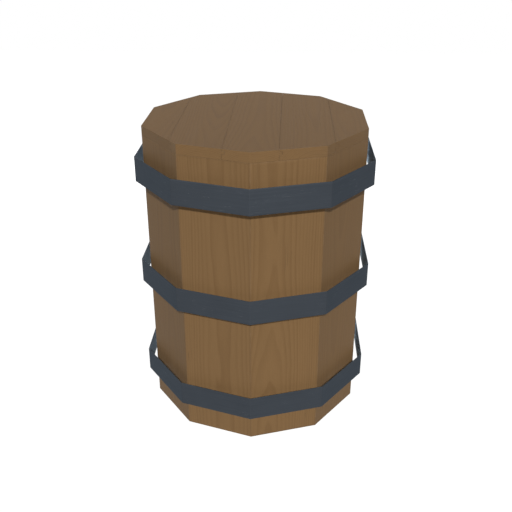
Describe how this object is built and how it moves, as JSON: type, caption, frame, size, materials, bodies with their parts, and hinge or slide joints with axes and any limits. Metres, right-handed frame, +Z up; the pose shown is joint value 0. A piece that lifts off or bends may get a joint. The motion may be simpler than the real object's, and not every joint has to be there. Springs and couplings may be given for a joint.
{
  "type": "water barrel",
  "caption": "Straight-sided wooden water barrel with flat stave facets, iron hoops that stand clear of the wood, a let-in bottom head and a flush board lid that lifts off.",
  "frame": {"origin": "middle of the foot, on the ground", "axes": "+Z up along the barrel's axis, with a corner of the barrel at -Y and the middle of a stave at +X"},
  "size_m": [0.672, 0.7066, 0.88],
  "materials": {
    "stave_wood": "planed and weathered, matt",
    "head_wood": "planed, water-stained",
    "lid_wood": "planed and weathered, matt",
    "hoop_iron": "dark slate paint, matt",
    "pin_iron": "dark slate paint, matt",
    "rivet_iron": "dark slate paint, matt"
  },
  "bodies": {
    "barrel": {"stave_01": "stave_wood", "stave_02": "stave_wood", "stave_03": "stave_wood", "stave_04": "stave_wood", "stave_05": "stave_wood", "stave_06": "stave_wood", "stave_07": "stave_wood", "stave_08": "stave_wood", "stave_09": "stave_wood", "stave_10": "stave_wood", "head_board_1": "head_wood", "head_board_2": "head_wood", "head_board_3": "head_wood", "top_hoop": "hoop_iron", "top_hoop_rivet_1": "rivet_iron", "top_hoop_rivet_2": "rivet_iron", "top_hoop_pin_01": "pin_iron", "top_hoop_pin_02": "pin_iron", "top_hoop_pin_03": "pin_iron", "top_hoop_pin_04": "pin_iron", "top_hoop_pin_05": "pin_iron", "top_hoop_pin_06": "pin_iron", "top_hoop_pin_07": "pin_iron", "top_hoop_pin_08": "pin_iron", "top_hoop_pin_09": "pin_iron", "top_hoop_pin_10": "pin_iron", "middle_hoop": "hoop_iron", "middle_hoop_rivet_1": "rivet_iron", "middle_hoop_rivet_2": "rivet_iron", "middle_hoop_pin_01": "pin_iron", "middle_hoop_pin_02": "pin_iron", "middle_hoop_pin_03": "pin_iron", "middle_hoop_pin_04": "pin_iron", "middle_hoop_pin_05": "pin_iron", "middle_hoop_pin_06": "pin_iron", "middle_hoop_pin_07": "pin_iron", "middle_hoop_pin_08": "pin_iron", "middle_hoop_pin_09": "pin_iron", "middle_hoop_pin_10": "pin_iron", "bottom_hoop": "hoop_iron", "bottom_hoop_rivet_1": "rivet_iron", "bottom_hoop_rivet_2": "rivet_iron", "bottom_hoop_pin_01": "pin_iron", "bottom_hoop_pin_02": "pin_iron", "bottom_hoop_pin_03": "pin_iron", "bottom_hoop_pin_04": "pin_iron", "bottom_hoop_pin_05": "pin_iron", "bottom_hoop_pin_06": "pin_iron", "bottom_hoop_pin_07": "pin_iron", "bottom_hoop_pin_08": "pin_iron", "bottom_hoop_pin_09": "pin_iron", "bottom_hoop_pin_10": "pin_iron"},
    "lid": {"lid_board_1": "lid_wood", "lid_board_2": "lid_wood", "lid_board_3": "lid_wood", "lid_board_4": "lid_wood", "lid_board_5": "lid_wood", "lid_batten_front": "lid_wood", "lid_batten_back": "lid_wood"}
  },
  "joints": [
    {"name": "lid_lift", "type": "slide", "parent": "barrel", "child": "lid", "axis": [0, 0, 1], "range_m": [0, 0.4]}
  ]
}
